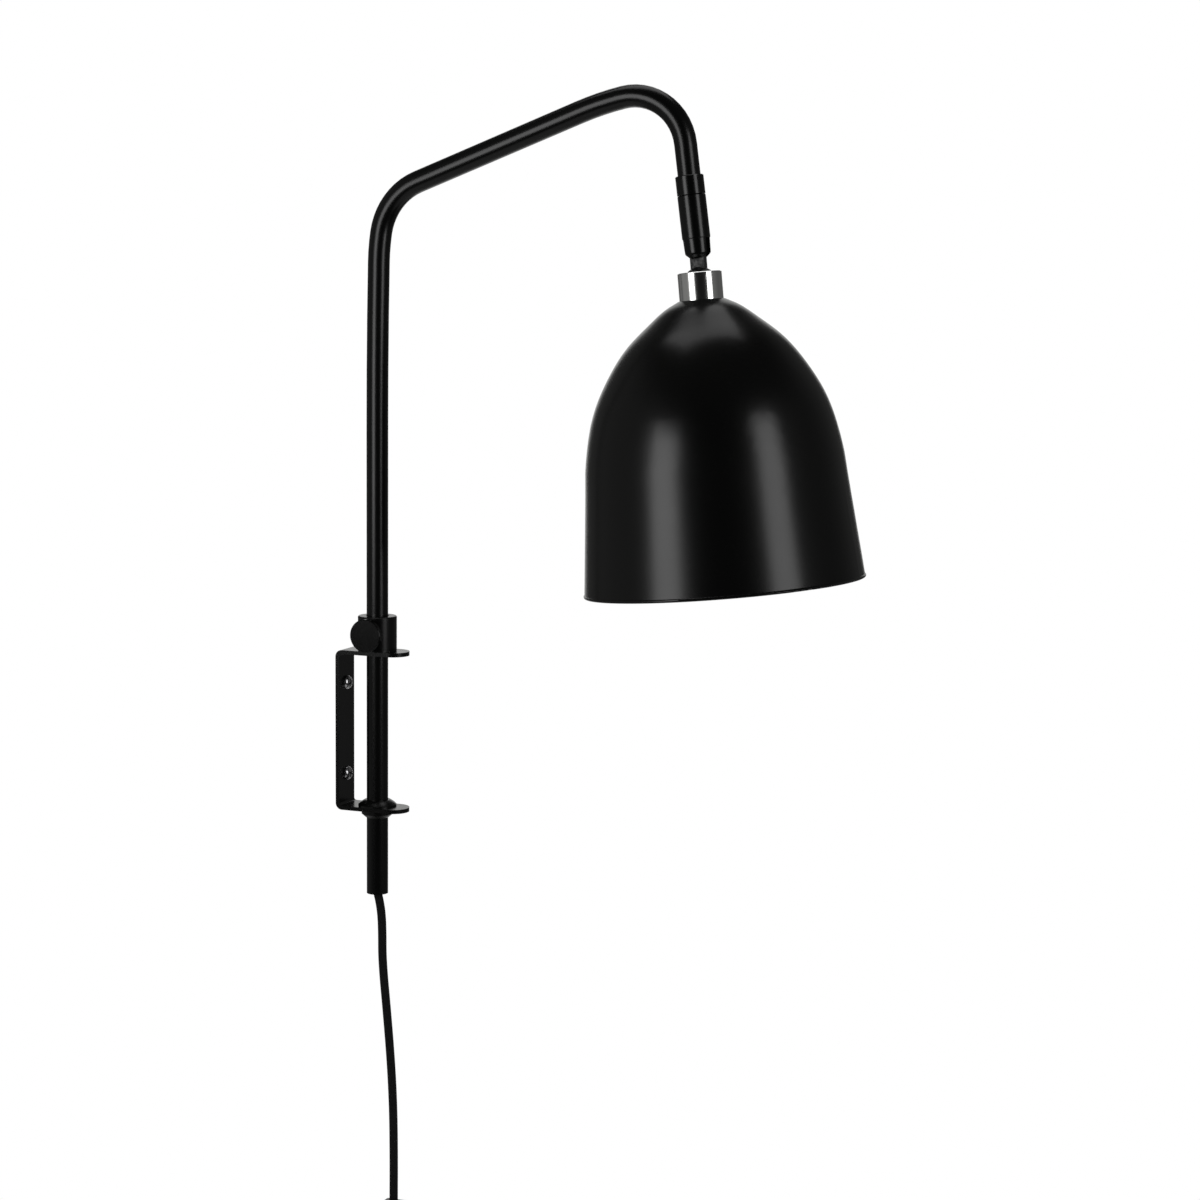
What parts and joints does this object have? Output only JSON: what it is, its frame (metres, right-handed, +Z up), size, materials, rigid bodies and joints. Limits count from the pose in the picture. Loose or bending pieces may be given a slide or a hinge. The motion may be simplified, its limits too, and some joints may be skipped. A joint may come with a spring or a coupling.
{
  "type": "swing-arm wall lamp",
  "caption": "Plug-in wall lamp: bent tube arm that swings and slides in a strip bracket, swivel knuckle, chrome cap, bell shade, lampholder, textile cord with switch and plug.",
  "frame": {"origin": "on the wall, at the middle of the bracket's plate, half way between its two screws", "axes": "+X points out of the wall towards the room and along the arm at rest, +Y along the wall, +Z up"},
  "size_m": [0.327, 0.1614, 0.9037],
  "materials": {
    "powder_coat": "satin black powder coat, fine texture",
    "shade_coat": "spun aluminium under the same satin black powder coat",
    "chrome_plate": "bright polished plating",
    "zinc_plate": "bright zinc plate",
    "washer_plastic": "natural moulded",
    "grommet_rubber": "matt moulded",
    "holder_plastic": "moulded, slightly glossy",
    "contact_brass": "bare stamped brass",
    "cord_braid": "black textile braid",
    "tie_strap": "woven strap",
    "switch_plastic": "fine moulded grain, soft gloss",
    "plug_plastic": "fine moulded grain",
    "pin_nickel": "nickel plate"
  },
  "bodies": {
    "bracket": {"wall_bracket": "powder_coat", "wall_screws": "zinc_plate", "lower_bush": "powder_coat"},
    "collar": {"locking_collar": "powder_coat"},
    "screw_shank": {"thumbscrew_shank": "zinc_plate"},
    "knob": {"thumbscrew_knob": "powder_coat"},
    "arm": {"arm_tube": "powder_coat", "arm_flex": "cord_braid", "tube_grommet": "grommet_rubber", "tube_insert": "zinc_plate", "swivel_ring": "powder_coat", "swivel_clip": "zinc_plate", "power_cord": "cord_braid", "cord_link": "cord_braid", "cord_coil": "cord_braid", "cord_tail": "cord_braid", "cord_tie": "tie_strap", "switch_base": "switch_plastic", "switch_cover": "switch_plastic", "switch_screws": "zinc_plate", "plug_relief": "grommet_rubber", "plug_body": "plug_plastic", "plug_pins": "pin_nickel"},
    "knuckle": {"knuckle_body": "powder_coat", "knuckle_pin": "zinc_plate", "knuckle_washers": "washer_plastic"},
    "head": {"head_tongue": "powder_coat", "chrome_cap": "chrome_plate", "shade": "shade_coat", "shade_nut": "zinc_plate", "holder_cap": "holder_plastic", "holder_body": "holder_plastic", "contact_shell": "contact_brass", "centre_contact": "contact_brass", "holder_terminals": "contact_brass", "holder_lead": "cord_braid"},
    "rocker": {"switch_rocker": "switch_plastic"}
  },
  "joints": [
    {"name": "arm_swing", "type": "hinge", "parent": "bracket", "child": "collar", "pos_m": [0.0233, 0, 0], "axis": [0, 0, 1], "range_deg": [-70, 70]},
    {"name": "height_slide", "type": "slide", "parent": "collar", "child": "arm", "axis": [0, 0, 1], "range_m": [-0.12, 0.04]},
    {"name": "screw_travel", "type": "slide", "parent": "collar", "child": "screw_shank", "axis": [0, -1, 0], "range_m": [0, 0.002]},
    {"name": "knob_turn", "type": "hinge", "parent": "screw_shank", "child": "knob", "pos_m": [0.0233, -0.0155, 0.0595], "axis": [0, -1, 0], "range_deg": [0, 720]},
    {"name": "head_twist", "type": "hinge", "parent": "arm", "child": "knuckle", "pos_m": [0.21879, 0, 0.33091], "axis": [-0.1357, 0, 0.9907], "range_deg": [-150, 150]},
    {"name": "head_tilt", "type": "hinge", "parent": "knuckle", "child": "head", "pos_m": [0.2243, 0, 0.29069], "axis": [0, -1, 0], "range_deg": [-40, 90]},
    {"name": "switch_rock", "type": "hinge", "parent": "arm", "child": "rocker", "pos_m": [0.0386, 0, -0.3242], "axis": [0, -1, 0], "range_deg": [0, 12]}
  ],
  "couplings": [
    {"joint": "knob_turn", "follows": "screw_travel", "rad_per_m": 6283.2}
  ]
}
